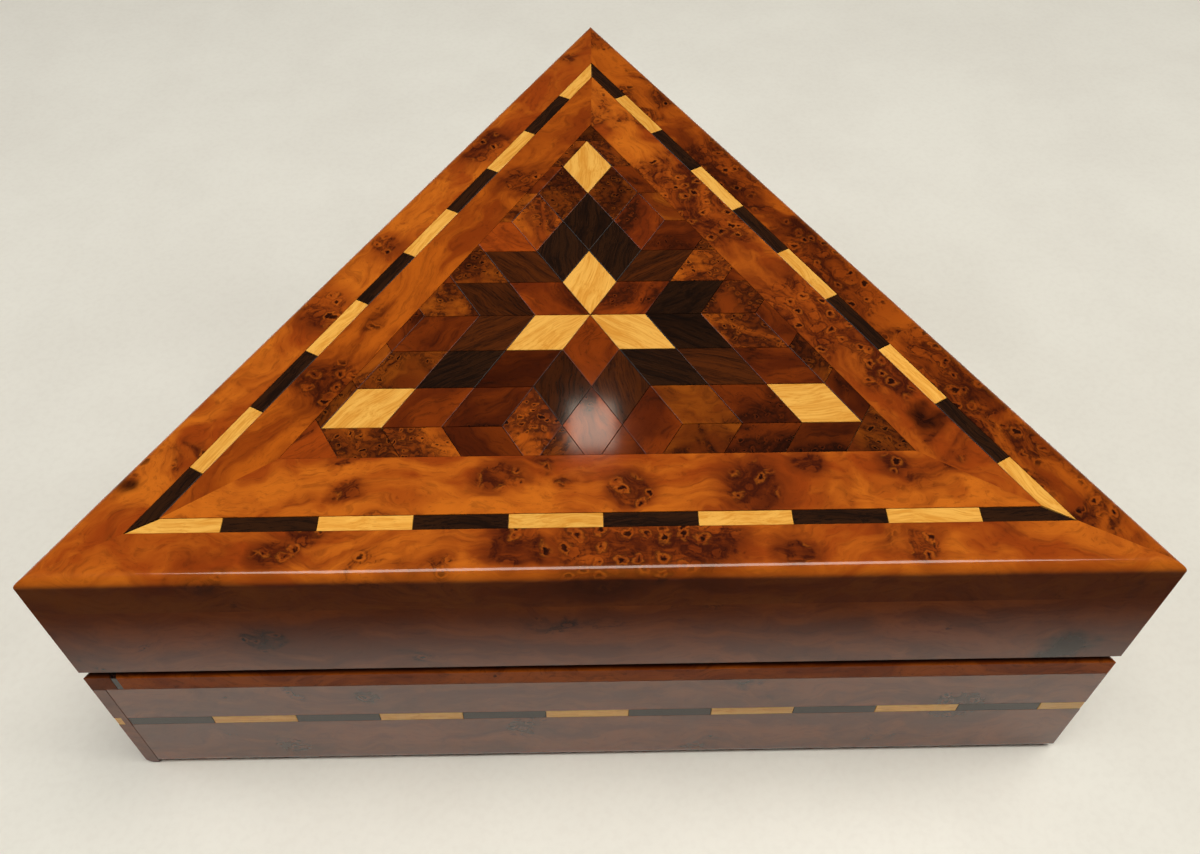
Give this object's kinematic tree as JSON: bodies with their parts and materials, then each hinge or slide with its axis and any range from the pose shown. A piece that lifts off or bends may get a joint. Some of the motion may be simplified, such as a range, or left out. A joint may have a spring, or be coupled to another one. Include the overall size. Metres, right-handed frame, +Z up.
{
  "type": "puzzle box",
  "caption": "Triangular lacquered burl-wood puzzle box with a hinged lid, rhombus star marquetry, inlaid lines, a sliding side panel, a sliding rail and a hidden lock.",
  "frame": {"origin": "centre of the triangular underside, where the box stands", "axes": "+Z up; X along the front edge, +X to its right end; +Y to the rear corner of the triangle"},
  "size_m": [0.2, 0.1732, 0.075],
  "materials": {
    "thuya": "gloss",
    "burl_thuya": "gloss",
    "red_thuya": "gloss",
    "walnut": "gloss",
    "ebony": "gloss",
    "lemonwood": "gloss",
    "plain_wood": "satin",
    "felt": "matte",
    "brass": "satin",
    "steel": "satin"
  },
  "bodies": {
    "base": {"base_floor": "plain_wood", "base_front_inlay_dark": "ebony", "base_front_inlay_light": "lemonwood", "base_front_rim": "plain_wood", "base_front_wall": "thuya", "base_left_moulding": "thuya", "base_left_wall": "thuya", "base_lining": "felt", "base_right_inlay_dark": "ebony", "base_right_inlay_light": "lemonwood", "base_right_moulding": "thuya", "base_right_wall": "thuya", "escutcheon": "brass", "hinge_back_leaf_base": "brass", "hinge_front_leaf_base": "brass", "hinge_pins": "steel", "hinge_screws_base": "steel", "key": "steel", "lock_case": "brass", "lock_screws": "steel", "lock_spring": "steel"},
    "side_panel": {"side_panel": "thuya", "panel_runner": "plain_wood", "panel_inlay_dark": "ebony", "panel_inlay_light": "lemonwood"},
    "front_rail": {"front_rail": "thuya", "rail_end_slip": "ebony"},
    "lock_bolt": {"lock_bolt": "brass"},
    "lid": {"hinge_back_leaf_lid": "brass", "hinge_front_leaf_lid": "brass", "hinge_screws_lid": "steel", "lid_band_front": "thuya", "lid_band_left": "thuya", "lid_band_right": "thuya", "lid_core_board": "plain_wood", "lid_frame_front": "thuya", "lid_frame_left": "thuya", "lid_frame_right": "thuya", "lid_front_inlay_dark": "ebony", "lid_front_inlay_light": "lemonwood", "lid_front_wall": "thuya", "lid_left_inlay_dark": "ebony", "lid_left_inlay_light": "lemonwood", "lid_left_wall": "thuya", "lid_lining": "felt", "lid_right_inlay_dark": "ebony", "lid_right_inlay_light": "lemonwood", "lid_right_wall": "thuya", "marquetry_burl": "burl_thuya", "marquetry_ebony": "ebony", "marquetry_lemonwood": "lemonwood", "marquetry_red_thuya": "red_thuya", "marquetry_walnut": "walnut", "strike": "brass", "strike_screws": "steel"}
  },
  "joints": [
    {"name": "lid_hinge", "type": "hinge", "parent": "base", "child": "lid", "pos_m": [0.05191, 0.02997, 0.0425], "axis": [-0.5, 0.866, 0], "range_deg": [0, 105]},
    {"name": "panel_slide", "type": "slide", "parent": "base", "child": "side_panel", "axis": [0.5, 0.866, 0], "range_m": [0, 0.06]},
    {"name": "rail_slide", "type": "slide", "parent": "base", "child": "front_rail", "axis": [1, 0, 0], "range_m": [0, 0.05]},
    {"name": "bolt_slide", "type": "slide", "parent": "base", "child": "lock_bolt", "axis": [0, 0, 1], "range_m": [0, 0.006]}
  ]
}
